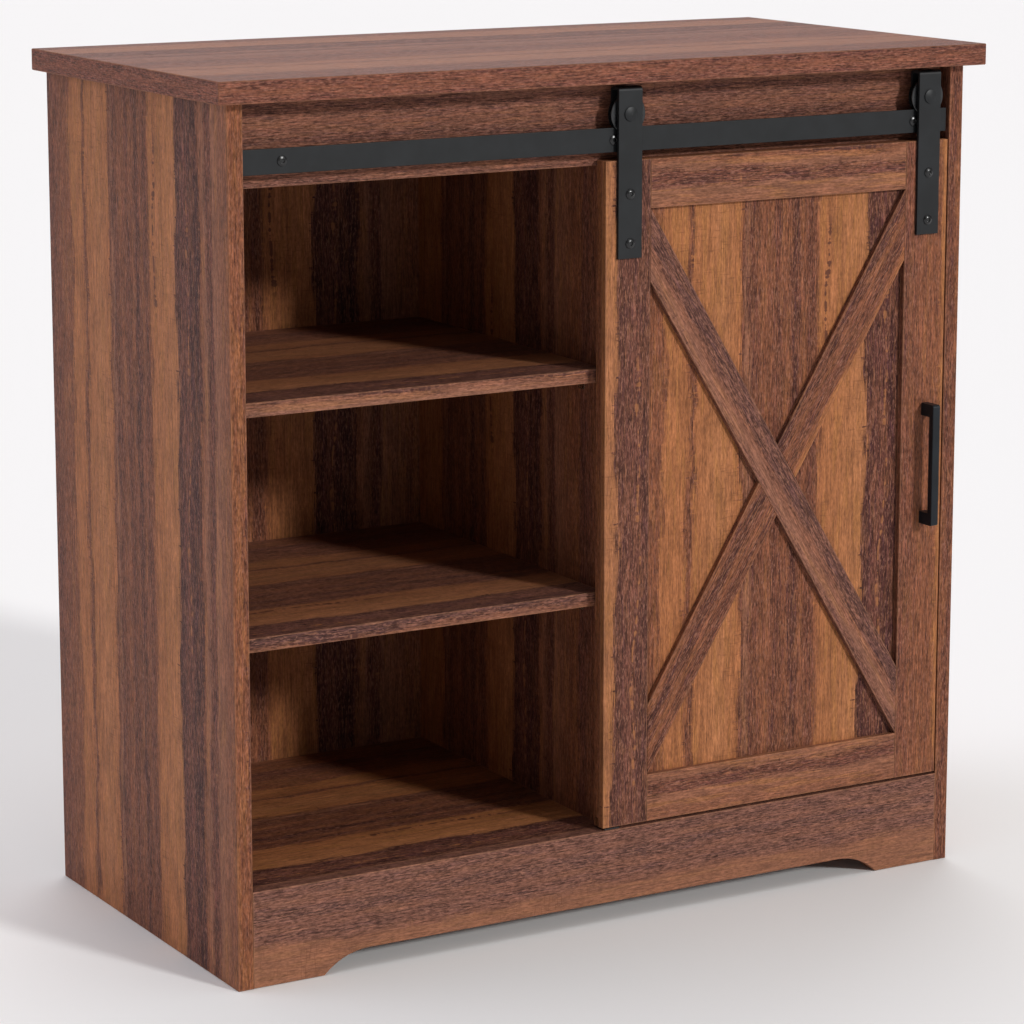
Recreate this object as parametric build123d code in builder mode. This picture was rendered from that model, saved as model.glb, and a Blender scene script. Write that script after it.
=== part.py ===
from build123d import *
from math import acos, atan2, cos, hypot, pi, sin
import os

# A sideboard cabinet with one sliding barn door, in millimetres.
# X runs along the width, Y from the front to the back and Z up. The origin is the
# middle of the footprint, on the floor.

# ---------------------------------------------------------------- driving dimensions

# Carcass
top_width = 800
top_depth = 400
cabinet_height = 800
top_thickness = 20
top_side_overhang = 14.5
top_front_overhang = 16
side_thickness = 15
divider_thickness = 15
bottom_thickness = 15
apron_thickness = 15
kick_thickness = 15
stretcher_thickness = 15
shelf_thickness = 13
back_thickness = 3
stretcher_height = 70
kick_height = 88
arch_height = 18.6
arch_foot_length = 70
arch_end_turn = pi / 4
lower_bay_height = 210.5
middle_bay_height = 195
shelf_clearance = 1
back_inset = 12
back_groove_depth = 5
back_clearance = 0.5
top_edge_radius = 1.2
board_edge_radius = 0.8

# Door
door_panel_thickness = 10
door_frame_thickness = 6
door_back_gap = 2
door_side_gap = 1.5
door_bottom_gap = 2.5
door_divider_overlap = 11
door_rail_gap = 7.5
door_apron_overlap = 5.5
stile_width = 48
door_rail_height = 45
brace_width = 35
frame_edge_radius = 0.7

# Handle
handle_length = 117.6
handle_width = 8.4
handle_leg = 12
handle_bar_depth = 6.2
finger_gap = 13.2
handle_from_door_edge = 20.6
handle_height = 399.9
handle_corner_radius = 2.5
handle_edge_radius = 0.8

# Rail, and the hangers that run on it
rail_height = 22
rail_thickness = 3
rail_left_gap = 0.5
rail_right_gap = 2.5
rail_bolt_spacing = 331.5
rail_edge_radius = 0.4
roll_radius = 12
flange_depth = 6
wheel_width = 6.4
wheel_bevel = 0.4
groove_side_clearance = 0.4
groove_flare = 0.3
running_clearance = 0.3
pass_clearance = 0.4
axle_radius = 4
axle_clearance = 0.05
axle_head_radius = 6.5
axle_head_height = 2
axle_tail_radius = 5.5
axle_tail_height = 2.2
washer_thickness = 0.75
washer_radius = 7
strap_width = 25
strap_thickness = 3
strap_bend_radius = 4
strap_below_door_top = 88.7
strap_above_axle = 24.8
strap_top_gap = 3.7
strap_tail_below_axle = 9.2
strap_edge_radius = 0.4

# Bottom guide
guide_length = 16
guide_front_inset = 2
guide_base_thickness = 1.2
guide_fin_thickness = 3
guide_fin_height = 7.5
guide_groove_width = 4
guide_groove_depth = 8
guide_edge_gap = 0.5

# Fasteners
cam_radius = 7.5
cam_depth = 12
cam_reach = 24
cam_recess_width = 1.4
cam_recess_length = 8
cam_recess_depth = 2
cam_bolt_radius = 3.5
cam_thread_radius = 2.5
cam_thread_depth = 10
dowel_radius = 4
dowel_in_face = 10
dowel_in_end = 20
pin_radius = 2.5
pin_web = 1
pin_plate = 1.5
pin_plate_width = 10
pin_plate_height = 12
pin_tongue = 10
pin_front_inset = 40
pin_back_inset = 40
divider_screw_head_radius = 3.5
divider_screw_radius = 1.8
divider_screw_length = 40
nail_head_radius = 2
nail_head_height = 0.8
nail_radius = 0.75
nail_length = 15
rail_bolt_head_height = 1.8
rail_bolt_rim = 1
rail_bolt_radius = 3
insert_radius = 4.5
insert_length = 12
hanger_screw_head_radius = 4.7
hanger_screw_head_height = 2.2
hanger_screw_rim = 0.9
hanger_screw_radius = 2
hanger_screw_cover = 2
hanger_screw_drops = (30.3, 75.1)
frame_screw_head_radius = 3.4
frame_screw_radius = 1.7
frame_screw_cover = 2.5
door_screw_gap = 1
handle_screw_head_radius = 4
handle_screw_head_height = 2.4
handle_screw_rim = 1.2
handle_screw_recess = 0.6
handle_screw_radius = 2
handle_screw_grip = 8
guide_screw_head_radius = 2.1
guide_screw_radius = 1.2
guide_screw_length = 12
guide_screw_spacing = 9

# ---------------------------------------------------------------- derived places

carcass_depth = top_depth - top_front_overhang
handle_reach = handle_bar_depth + finger_gap
back_y = (carcass_depth + max(top_front_overhang, handle_reach)) / 2
front_y = back_y - carcass_depth
top_z = cabinet_height - top_thickness
side_outer_x = top_width / 2 - top_side_overhang
side_inner_x = side_outer_x - side_thickness
back_panel_y = back_y - back_inset - back_thickness
stretcher_z = top_z - stretcher_height
bottom_z = kick_height - bottom_thickness
lower_shelf_z = kick_height + lower_bay_height
upper_shelf_z = lower_shelf_z + shelf_thickness + middle_bay_height

# The door hangs in front of the apron, the divider and the shelves, flush with the
# side panels' front edges and above the kick board.
door_thickness = door_panel_thickness + door_frame_thickness
door_back_y = front_y + door_thickness
door_panel_y = front_y + door_frame_thickness
groove_middle_y = door_panel_y + door_panel_thickness / 2
inside_front_y = door_back_y + door_back_gap
door_left = -door_divider_overlap
door_right = side_inner_x - door_side_gap
door_bottom = kick_height + door_bottom_gap

# The hangers just clear the top, the rail is under their wheels, the door's top edge is
# under the rail, and the apron reaches down behind the door's top edge.
strap_top = top_z - strap_top_gap
axle_z = strap_top - strap_above_axle
rail_top_z = axle_z - roll_radius
rail_z = rail_top_z - rail_height
rail_mid_z = rail_z + rail_height / 2
door_top = rail_z - door_rail_gap
apron_z = door_top - door_apron_overlap
apron_height = top_z - apron_z

# The strap's two legs take the wheel and a washer on each side of it, and the rail
# stands on the wheel's centre plane.
fork_gap = wheel_width + 2 * (washer_thickness + running_clearance)
wheel_y = front_y + fork_gap / 2
strap_front_y = front_y - strap_thickness
tail_front_y = front_y + fork_gap
tail_back_y = tail_front_y + strap_thickness
rail_front_y = wheel_y - rail_thickness / 2
rail_back_y = rail_front_y + rail_thickness
rail_left = rail_left_gap - side_inner_x
rail_right = side_inner_x - rail_right_gap
rim_radius = roll_radius + flange_depth
passing_radius = rail_height / 2 - flange_depth - pass_clearance
hanger_places = {"left": door_left + stile_width / 2, "right": door_right - stile_width / 2}
handle_x = door_right - handle_from_door_edge

front = (0, -1, 0)
rear = (0, 1, 0)
up = (0, 0, 1)
down = (0, 0, -1)


# ---------------------------------------------------------------- shared shapes

def facing_front(y):
    """A plane with X across and Z up, which extrudes towards the front."""
    return Plane.XZ.offset(-y)


def facing_right(x):
    """A plane with Y across and Z up, which extrudes to the right."""
    return Plane.YZ.offset(x)


def level(z):
    """A level plane with X across and Y along it, which extrudes upwards."""
    return Plane.XY.offset(z)


def oblong(plane, low, high):
    """The oblong between two opposite corners on a plane."""
    with BuildSketch(plane) as outline:
        with Locations(((low[0] + high[0]) / 2, (low[1] + high[1]) / 2)):
            Rectangle(high[0] - low[0], high[1] - low[1])
    return outline.sketch


def section_plane(origin, direction):
    """A plane through an axis, with the radius across it and the direction up it."""
    end = Plane(origin=origin, z_dir=direction)
    return Plane(origin=origin, x_dir=end.x_dir, z_dir=-end.y_dir)


def turned(origin, direction, profile):
    """A round solid from a profile of (radius, distance along the direction) points."""
    with BuildPart() as piece:
        with BuildSketch(section_plane(origin, direction)):
            with BuildLine():
                Polyline(*profile, close=True)
            make_face()
        revolve(axis=Axis(origin, direction))
    return piece.part


def rod(origin, direction, radius, length):
    """A plain round rod that starts at the origin."""
    return turned(origin, direction, [(0, 0), (radius, 0), (radius, length), (0, length)])


def domed_bolt(origin, direction, head_radius, head_height, rim, radius, length):
    """A bolt whose domed head sits on the origin and whose shank follows the direction."""
    with BuildPart() as piece:
        with BuildSketch(section_plane(origin, direction)):
            with BuildLine():
                TangentArc((0, -head_height), (head_radius, -rim), tangent=(1, 0))
                Polyline(
                    (head_radius, -rim),
                    (head_radius, 0),
                    (radius, 0),
                    (radius, length),
                    (0, length),
                    (0, -head_height),
                )
            make_face()
        revolve(axis=Axis(origin, direction))
    return piece.part


def countersunk_screw(origin, direction, head_radius, radius, length):
    """A screw whose flat head is flush with the origin's face."""
    taper_end = head_radius - radius
    profile = [(0, 0), (head_radius, 0), (radius, taper_end), (radius, length), (0, length)]
    return turned(origin, direction, profile)


# ---------------------------------------------------------------- carcass fasteners

# Each cam joint is where one board's end meets another board's face: the point on
# that face, the way into the end, the face that the cam opens on and the thickness.
side_middle_x = side_inner_x + side_thickness / 2
divider_middle_x = divider_thickness / 2
apron_middle_y = inside_front_y + apron_thickness / 2
stretcher_middle_y = back_panel_y - stretcher_thickness / 2
kick_middle_y = front_y + kick_thickness / 2
bottom_middle_z = bottom_z + bottom_thickness / 2
apron_middle_z = apron_z + apron_height / 2
stretcher_middle_z = stretcher_z + stretcher_height / 2
kick_middle_z = kick_height / 2
front_row_y = front_y + 85
rear_row_y = back_y - 80
top_rail_cam_x = 180
dowel_offset = 28
apron_dowel_offset = 24
kick_dowel_offset = 24

cam_joints = []
dowel_joints = []
for side in (-1, 1):
    inward = (-side, 0, 0)
    face_x = side * side_inner_x
    middle_x = side * side_middle_x
    for row_y, outer in ((front_row_y, -1), (rear_row_y, 1)):
        dowel_y = row_y + outer * dowel_offset
        cam_joints.append(((face_x, row_y, bottom_middle_z), inward, down, bottom_thickness))
        cam_joints.append(((middle_x, row_y, top_z), down, inward, side_thickness))
        dowel_joints.append(((face_x, dowel_y, bottom_middle_z), inward))
        dowel_joints.append(((middle_x, dowel_y, top_z), down))
    cam_joints.append(((face_x, apron_middle_y, apron_middle_z), inward, rear, apron_thickness))
    cam_joints.append(((face_x, kick_middle_y, kick_middle_z), inward, rear, kick_thickness))
    cam_joints.append(
        ((face_x, stretcher_middle_y, stretcher_middle_z), inward, front, stretcher_thickness)
    )
    cam_joints.append(
        ((side * top_rail_cam_x, apron_middle_y, top_z), down, rear, apron_thickness)
    )
    cam_joints.append(
        ((side * top_rail_cam_x, stretcher_middle_y, top_z), down, front, stretcher_thickness)
    )
    for step in (-1, 1):
        dowel_joints.append(
            ((face_x, apron_middle_y, apron_middle_z + step * apron_dowel_offset), inward)
        )
        dowel_joints.append(
            ((face_x, kick_middle_y, kick_middle_z + step * kick_dowel_offset), inward)
        )
        dowel_joints.append(
            ((face_x, stretcher_middle_y, stretcher_middle_z + step * apron_dowel_offset), inward)
        )
for row_y in (front_row_y, rear_row_y):
    dowel_joints.append(((divider_middle_x, row_y, top_z), down))


def beyond(point, direction, distance):
    """The point a distance further along a direction."""
    return Vector(*point) + Vector(*direction) * distance


with BuildPart() as cam_bolts:
    for point, into, opening, thickness in cam_joints:
        add(rod(point, into, cam_bolt_radius, cam_reach))
        add(rod(beyond(point, into, -cam_thread_depth), into, cam_thread_radius, cam_thread_depth))

with BuildPart() as cam_bores:
    for point, into, opening, thickness in cam_joints:
        centre = beyond(beyond(point, into, cam_reach), opening, thickness / 2)
        add(rod(centre, -Vector(*opening), cam_radius, cam_depth))

with BuildPart() as cam_discs:
    add(cam_bores.part)
    add(cam_bolts.part, mode=Mode.SUBTRACT)
    for point, into, opening, thickness in cam_joints:
        centre = beyond(beyond(point, into, cam_reach), opening, thickness / 2)
        with BuildSketch(Plane(origin=centre, z_dir=opening)):
            Rectangle(cam_recess_length, cam_recess_width)
            Rectangle(cam_recess_width, cam_recess_length)
        extrude(amount=-cam_recess_depth, mode=Mode.SUBTRACT)

with BuildPart() as dowels:
    for point, into in dowel_joints:
        start = beyond(point, into, -dowel_in_face)
        add(rod(start, into, dowel_radius, dowel_in_face + dowel_in_end))

with BuildPart() as divider_screws:
    for row_y in (front_row_y, rear_row_y):
        head = (divider_middle_x, row_y, bottom_z)
        add(
            countersunk_screw(
                head, up, divider_screw_head_radius, divider_screw_radius, divider_screw_length
            )
        )

# The back is nailed to the divider, the bottom and the rear stretcher.
nail_step_x = 150
nail_points = []
for nail_x in (-2 * nail_step_x, -nail_step_x, nail_step_x, 2 * nail_step_x):
    nail_points.append((nail_x, bottom_middle_z))
    nail_points.append((nail_x, stretcher_middle_z))
for share in (0.15, 0.38, 0.61, 0.84):
    nail_points.append((divider_middle_x, kick_height + share * (stretcher_z - kick_height)))

back_outer_y = back_panel_y + back_thickness
with BuildPart() as back_nails:
    for nail_x, nail_z in nail_points:
        origin = (nail_x, back_outer_y, nail_z)
        add(
            turned(
                origin,
                front,
                [
                    (0, -nail_head_height),
                    (nail_head_radius, -nail_head_height),
                    (nail_head_radius, 0),
                    (nail_radius, 0),
                    (nail_radius, nail_length),
                    (0, nail_length),
                ],
            )
        )

# Spade pins: a round pin in the board, a plate on its face and a tongue for the shelf.
# The divider has pins from both sides, with a web of board left between their ends.
bay_sides = (
    (-side_inner_x, 1),
    (0, -1),
    (divider_thickness, 1),
    (side_inner_x, -1),
)
pin_rows = (inside_front_y + pin_front_inset, back_panel_y - pin_back_inset)
pin_depth = (divider_thickness - pin_web) / 2
with BuildPart() as shelf_pins:
    for wall_x, out in bay_sides:
        for shelf_z in (lower_shelf_z, upper_shelf_z):
            for row_y in pin_rows:
                low_y = row_y - pin_plate_width / 2
                high_y = row_y + pin_plate_width / 2
                plate = oblong(
                    facing_right(wall_x), (low_y, shelf_z - pin_plate_height), (high_y, shelf_z)
                )
                tongue = oblong(
                    facing_right(wall_x), (low_y, shelf_z - pin_plate), (high_y, shelf_z)
                )
                extrude(plate, amount=out * pin_plate)
                extrude(tongue, amount=out * pin_tongue)
                pin_end = (wall_x, row_y, shelf_z - pin_plate_height / 2)
                add(rod(pin_end, (-out, 0, 0), pin_radius, pin_depth))

# The bolts hold the rail away from the apron on spacers, and turn into brass inserts.
rail_middle_x = (rail_left + rail_right) / 2
rail_bolt_places = [rail_middle_x + step * rail_bolt_spacing for step in (-1, 0, 1)]
apron_back_y = inside_front_y + apron_thickness
with BuildPart() as rail_bolts:
    for bolt_x in rail_bolt_places:
        reach = inside_front_y - rail_front_y + insert_length
        origin = (bolt_x, rail_front_y, rail_mid_z)
        add(
            domed_bolt(
                origin,
                rear,
                passing_radius,
                rail_bolt_head_height,
                rail_bolt_rim,
                rail_bolt_radius,
                reach,
            )
        )

with BuildPart() as rail_inserts:
    for bolt_x in rail_bolt_places:
        with BuildSketch(facing_front(inside_front_y)):
            with Locations((bolt_x, rail_mid_z)):
                Circle(insert_radius)
                Circle(rail_bolt_radius, mode=Mode.SUBTRACT)
        extrude(amount=-insert_length)

guide_front_y = front_y + guide_front_inset
guide_back_y = max(
    front_y + kick_thickness - guide_edge_gap, groove_middle_y + guide_fin_thickness / 2
)
guide_screw_y = guide_front_y + guide_screw_head_radius + guide_edge_gap
with BuildPart() as guide_screws:
    for step in (-1, 1):
        head = (step * guide_screw_spacing / 2, guide_screw_y, kick_height + guide_base_thickness)
        add(
            countersunk_screw(
                head, down, guide_screw_head_radius, guide_screw_radius, guide_screw_length
            )
        )

carcass_bores = [
    cam_bolts.part,
    cam_bores.part,
    dowels.part,
    divider_screws.part,
    back_nails.part,
    shelf_pins.part,
    rail_bolts.part,
    rail_inserts.part,
    guide_screws.part,
]


# ---------------------------------------------------------------- carcass boards

def side_panel(side):
    """An upright side panel, grooved for the back and bored for its fasteners."""
    inner_x = side * side_inner_x
    with BuildPart() as panel:
        outline = oblong(facing_right(inner_x), (front_y, 0), (back_y, top_z))
        extrude(outline, amount=side * side_thickness)
        fillet(panel.edges().filter_by(Axis.Z), board_edge_radius)
        groove = oblong(facing_right(inner_x), (back_panel_y, 0), (back_outer_y, top_z))
        extrude(groove, amount=side * back_groove_depth, mode=Mode.SUBTRACT)
        add(carcass_bores, mode=Mode.SUBTRACT)
    return panel


left_side_panel = side_panel(-1)
right_side_panel = side_panel(1)

with BuildPart() as top_panel:
    top_low = (-top_width / 2, back_y - top_depth)
    extrude(oblong(level(top_z), top_low, (top_width / 2, back_y)), amount=top_thickness)
    fillet(top_panel.edges(), top_edge_radius)
    add(carcass_bores, mode=Mode.SUBTRACT)

with BuildPart() as bottom_panel:
    bottom_low = (-side_inner_x, front_y + kick_thickness)
    outline = oblong(level(bottom_z), bottom_low, (side_inner_x, back_panel_y))
    extrude(outline, amount=bottom_thickness)
    add(carcass_bores, mode=Mode.SUBTRACT)

# The kick board's arch is flat along its top and rounds down to the floor at its ends.
arch_radius = arch_height / (1 - cos(arch_end_turn))
arch_corner_x = side_inner_x - arch_foot_length
arch_flat_x = arch_corner_x - arch_radius * sin(arch_end_turn)
arch_half_turn = arch_end_turn / 2
arch_shoulder_x = arch_flat_x + arch_radius * sin(arch_half_turn)
arch_shoulder_z = arch_height - arch_radius * (1 - cos(arch_half_turn))
with BuildPart() as kick_board:
    with BuildSketch(facing_front(front_y + kick_thickness)):
        with BuildLine():
            Polyline(
                (-arch_corner_x, 0),
                (-side_inner_x, 0),
                (-side_inner_x, kick_height),
                (side_inner_x, kick_height),
                (side_inner_x, 0),
                (arch_corner_x, 0),
            )
            ThreePointArc(
                (arch_corner_x, 0), (arch_shoulder_x, arch_shoulder_z), (arch_flat_x, arch_height)
            )
            Line((arch_flat_x, arch_height), (-arch_flat_x, arch_height))
            ThreePointArc(
                (-arch_flat_x, arch_height),
                (-arch_shoulder_x, arch_shoulder_z),
                (-arch_corner_x, 0),
            )
        make_face()
    extrude(amount=kick_thickness)
    kick_front_edges = kick_board.faces().sort_by(Axis.Y)[0].edges()
    fillet(kick_front_edges.filter_by(Axis.X), board_edge_radius)
    add(carcass_bores, mode=Mode.SUBTRACT)

with BuildPart() as front_apron:
    apron_outline = oblong(
        facing_front(apron_back_y), (-side_inner_x, apron_z), (side_inner_x, top_z)
    )
    extrude(apron_outline, amount=apron_thickness)
    fillet(front_apron.edges().filter_by(Axis.X).group_by(Axis.Z)[0], board_edge_radius)
    add(carcass_bores, mode=Mode.SUBTRACT)

with BuildPart() as rear_stretcher:
    stretcher_outline = oblong(
        facing_front(back_panel_y), (-side_inner_x, stretcher_z), (side_inner_x, top_z)
    )
    extrude(stretcher_outline, amount=stretcher_thickness)
    fillet(rear_stretcher.edges().filter_by(Axis.X).group_by(Axis.Z)[0], board_edge_radius)
    add(carcass_bores, mode=Mode.SUBTRACT)

# The divider is notched for the apron in front and the stretcher behind.
stretcher_front_y = back_panel_y - stretcher_thickness
with BuildPart() as center_divider:
    with BuildSketch(facing_right(0)):
        with BuildLine():
            Polyline(
                (inside_front_y, kick_height),
                (back_panel_y, kick_height),
                (back_panel_y, stretcher_z),
                (stretcher_front_y, stretcher_z),
                (stretcher_front_y, top_z),
                (apron_back_y, top_z),
                (apron_back_y, apron_z),
                (inside_front_y, apron_z),
                close=True,
            )
        make_face()
    extrude(amount=divider_thickness)
    divider_front = center_divider.edges().filter_by(Axis.Z).group_by(Axis.Y)[0]
    fillet(divider_front, board_edge_radius)
    add(carcass_bores, mode=Mode.SUBTRACT)

with BuildPart() as back_panel:
    back_half_width = side_inner_x + back_groove_depth - back_clearance
    back_outline = oblong(
        facing_front(back_outer_y),
        (-back_half_width, bottom_z),
        (back_half_width, top_z - back_clearance),
    )
    extrude(back_outline, amount=back_thickness)
    add(back_nails.part, mode=Mode.SUBTRACT)


def shelf(bay_left, bay_right, underside_z):
    """A loose shelf that rests on its four pins."""
    with BuildPart() as board:
        low = (bay_left + shelf_clearance, inside_front_y)
        high = (bay_right - shelf_clearance, back_panel_y - shelf_clearance)
        extrude(oblong(level(underside_z), low, high), amount=shelf_thickness)
        fillet(board.edges().filter_by(Axis.X), board_edge_radius)
    return board


left_upper_shelf = shelf(-side_inner_x, 0, upper_shelf_z)
left_lower_shelf = shelf(-side_inner_x, 0, lower_shelf_z)
right_upper_shelf = shelf(divider_thickness, side_inner_x, upper_shelf_z)
right_lower_shelf = shelf(divider_thickness, side_inner_x, lower_shelf_z)

# ---------------------------------------------------------------- rail

with BuildPart() as rail_bar:
    rail_outline = oblong(facing_front(rail_back_y), (rail_left, rail_z), (rail_right, rail_top_z))
    extrude(rail_outline, amount=rail_thickness)
    fillet(rail_bar.edges().filter_by(Axis.X), rail_edge_radius)
    add(rail_bolts.part, mode=Mode.SUBTRACT)

with BuildPart() as rail_spacers:
    for bolt_x in rail_bolt_places:
        with BuildSketch(facing_front(inside_front_y)):
            with Locations((bolt_x, rail_mid_z)):
                Circle(passing_radius)
                Circle(rail_bolt_radius, mode=Mode.SUBTRACT)
        extrude(amount=inside_front_y - rail_back_y)

# ---------------------------------------------------------------- door fasteners

frame_middle_left = door_left + stile_width / 2
frame_middle_right = door_right - stile_width / 2
opening_left = door_left + stile_width
opening_right = door_right - stile_width
opening_bottom = door_bottom + door_rail_height
opening_top = door_top - door_rail_height
opening_width = opening_right - opening_left
opening_height = opening_top - opening_bottom

# Each brace's upper edge and lower edge end in opposite corners of the opening, so its
# slope follows from the opening and the brace's width.
opening_diagonal = hypot(opening_height, opening_width)
brace_slope = acos(brace_width / opening_diagonal) - atan2(opening_width, opening_height)
brace_end_height = brace_width / cos(brace_slope)
opening_middle_x = (opening_left + opening_right) / 2
opening_middle_z = (opening_bottom + opening_top) / 2
brace_half_length = opening_width / 2 / cos(brace_slope)


def along_brace(distance, rise):
    """A point on a brace's centre line, a distance from the middle of the opening."""
    return (
        opening_middle_x + distance * cos(brace_slope),
        opening_middle_z + rise * distance * sin(brace_slope),
    )


handle_screw_reach = handle_length / 2 - handle_leg / 2
handle_screw_places = [
    (handle_x, handle_height + step * handle_screw_reach) for step in (-1, 1)
]
door_screws_apart = frame_screw_head_radius + handle_screw_head_radius + door_screw_gap


def clear_of_handle(stile_x, screw_z):
    """A stile screw's height, moved on where it would meet one of the handle's screws."""
    for handle_screw_x, handle_screw_z in handle_screw_places:
        if hypot(stile_x - handle_screw_x, screw_z - handle_screw_z) < door_screws_apart:
            outward = 1 if handle_screw_z > handle_height else -1
            return handle_screw_z + outward * door_screws_apart
    return screw_z


frame_screw_points = []
stile_screw_pitch = (door_top - door_bottom) * 0.225
for stile_x in (frame_middle_left, frame_middle_right):
    for row in range(4):
        screw_z = door_bottom + door_rail_height * 0.9 + row * stile_screw_pitch
        frame_screw_points.append((stile_x, clear_of_handle(stile_x, screw_z)))
for step in (-1, 0, 1):
    screw_x = opening_middle_x + step * opening_width / 3
    frame_screw_points.append((screw_x, opening_bottom - door_rail_height / 2))
    frame_screw_points.append((screw_x, opening_top + door_rail_height / 2))
for share in (-0.75, 0, 0.75):
    frame_screw_points.append(along_brace(share * brace_half_length, -1))
for share in (-0.8, -0.35, 0.35, 0.8):
    frame_screw_points.append(along_brace(share * brace_half_length, 1))

frame_screw_length = door_thickness - frame_screw_cover
with BuildPart() as frame_screws:
    for screw_x, screw_z in frame_screw_points:
        head = (screw_x, door_back_y, screw_z)
        add(
            countersunk_screw(
                head, front, frame_screw_head_radius, frame_screw_radius, frame_screw_length
            )
        )

hanger_screw_length = strap_thickness + door_thickness - hanger_screw_cover
with BuildPart() as hanger_screws:
    for hanger_x in hanger_places.values():
        for drop in hanger_screw_drops:
            add(
                domed_bolt(
                    (hanger_x, strap_front_y, door_top - drop),
                    rear,
                    hanger_screw_head_radius,
                    hanger_screw_head_height,
                    hanger_screw_rim,
                    hanger_screw_radius,
                    hanger_screw_length,
                )
            )

handle_screw_seat_y = door_back_y - handle_screw_recess - handle_screw_head_height
handle_screw_length = handle_screw_seat_y - front_y + handle_screw_grip
with BuildPart() as handle_screws:
    for screw_x, screw_z in handle_screw_places:
        add(
            domed_bolt(
                (screw_x, handle_screw_seat_y, screw_z),
                front,
                handle_screw_head_radius,
                handle_screw_head_height,
                handle_screw_rim,
                handle_screw_radius,
                handle_screw_length,
            )
        )

# ---------------------------------------------------------------- hangers


def wheel(hanger_x):
    """A grooved wheel that runs on the rail's top edge and turns on its axle."""
    half_width = wheel_width / 2
    half_groove = rail_thickness / 2 + groove_side_clearance
    groove_radius = roll_radius - running_clearance
    bore = axle_radius + axle_clearance
    profile = [
        (bore, -half_width),
        (rim_radius - wheel_bevel, -half_width),
        (rim_radius, wheel_bevel - half_width),
        (rim_radius, -half_groove - groove_flare),
        (groove_radius, -half_groove),
        (groove_radius, half_groove),
        (rim_radius, half_groove + groove_flare),
        (rim_radius, half_width - wheel_bevel),
        (rim_radius - wheel_bevel, half_width),
        (bore, half_width),
    ]
    with BuildPart() as turned_wheel:
        add(turned((hanger_x, wheel_y, axle_z), front, profile))
    return turned_wheel


def axle(hanger_x):
    """A shouldered rivet through both legs of the strap, headed at each end."""
    shank = tail_back_y - strap_front_y
    with BuildPart() as rivet:
        add(
            domed_bolt(
                (hanger_x, strap_front_y, axle_z),
                rear,
                axle_head_radius,
                axle_head_height,
                axle_head_height / 2,
                axle_radius,
                shank,
            )
        )
        add(rod((hanger_x, tail_back_y, axle_z), rear, axle_tail_radius, axle_tail_height))
    return rivet


wheels = {side: wheel(place) for side, place in hanger_places.items()}
axles = {side: axle(place) for side, place in hanger_places.items()}


def strap(side):
    """A flat steel strap that bends over the wheel, with a long leg on the door's face."""
    hanger_x = hanger_places[side]
    strap_bottom = door_top - strap_below_door_top
    tail_bottom = axle_z - strap_tail_below_axle
    inner_bend = strap_bend_radius - strap_thickness
    with BuildPart() as bent:
        with BuildSketch(facing_right(hanger_x - strap_width / 2)) as profile:
            with BuildLine():
                Polyline(
                    (strap_front_y, strap_bottom),
                    (strap_front_y, strap_top),
                    (tail_back_y, strap_top),
                    (tail_back_y, tail_bottom),
                    (tail_front_y, tail_bottom),
                    (tail_front_y, strap_top - strap_thickness),
                    (front_y, strap_top - strap_thickness),
                    (front_y, strap_bottom),
                    close=True,
                )
            make_face()
            fillet(profile.vertices().group_by(Axis.Y)[-1], strap_bend_radius)
            fillet(profile.vertices().filter_by(inside_bend), inner_bend)
        extrude(amount=strap_width)
        fillet(bent.faces().sort_by(Axis.Y)[0].edges().filter_by(Axis.Z), strap_edge_radius)
        add(axles[side].part, mode=Mode.SUBTRACT)
        add(hanger_screws.part, mode=Mode.SUBTRACT)
    return bent


def inside_bend(corner):
    """Whether a corner of the strap's profile is on the inside of its bends."""
    bend_z = strap_top - strap_thickness
    return abs(corner.Y - bend_z) < running_clearance


straps = {side: strap(side) for side in hanger_places}

with BuildPart() as axle_washers:
    for hanger_x in hanger_places.values():
        for washer_y in (front_y + washer_thickness, tail_front_y):
            with BuildSketch(facing_front(washer_y)):
                with Locations((hanger_x, axle_z)):
                    Circle(washer_radius)
                    Circle(axle_radius, mode=Mode.SUBTRACT)
            extrude(amount=washer_thickness)

# ---------------------------------------------------------------- handle

with BuildPart() as door_handle:
    handle_low_z = handle_height - handle_length / 2
    handle_high_z = handle_height + handle_length / 2
    handle_front_y = front_y - handle_reach
    grip_back_y = front_y - finger_gap
    with BuildSketch(facing_right(handle_x - handle_width / 2)) as handle_side:
        with BuildLine():
            Polyline(
                (front_y, handle_low_z),
                (handle_front_y, handle_low_z),
                (handle_front_y, handle_high_z),
                (front_y, handle_high_z),
                (front_y, handle_high_z - handle_leg),
                (grip_back_y, handle_high_z - handle_leg),
                (grip_back_y, handle_low_z + handle_leg),
                (front_y, handle_low_z + handle_leg),
                close=True,
            )
        make_face()
        fillet(handle_side.vertices().group_by(Axis.X)[0], handle_corner_radius)
    extrude(amount=handle_width)
    handle_sides = door_handle.faces().filter_by(Axis.X)
    outer_edges = handle_sides.edges().filter_by(lambda edge: edge.center().Y < grip_back_y - 1)
    fillet(outer_edges, handle_edge_radius)
    add(handle_screws.part, mode=Mode.SUBTRACT)

# ---------------------------------------------------------------- door boards

door_bores = [
    frame_screws.part,
    hanger_screws.part,
    handle_screws.part,
]

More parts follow.
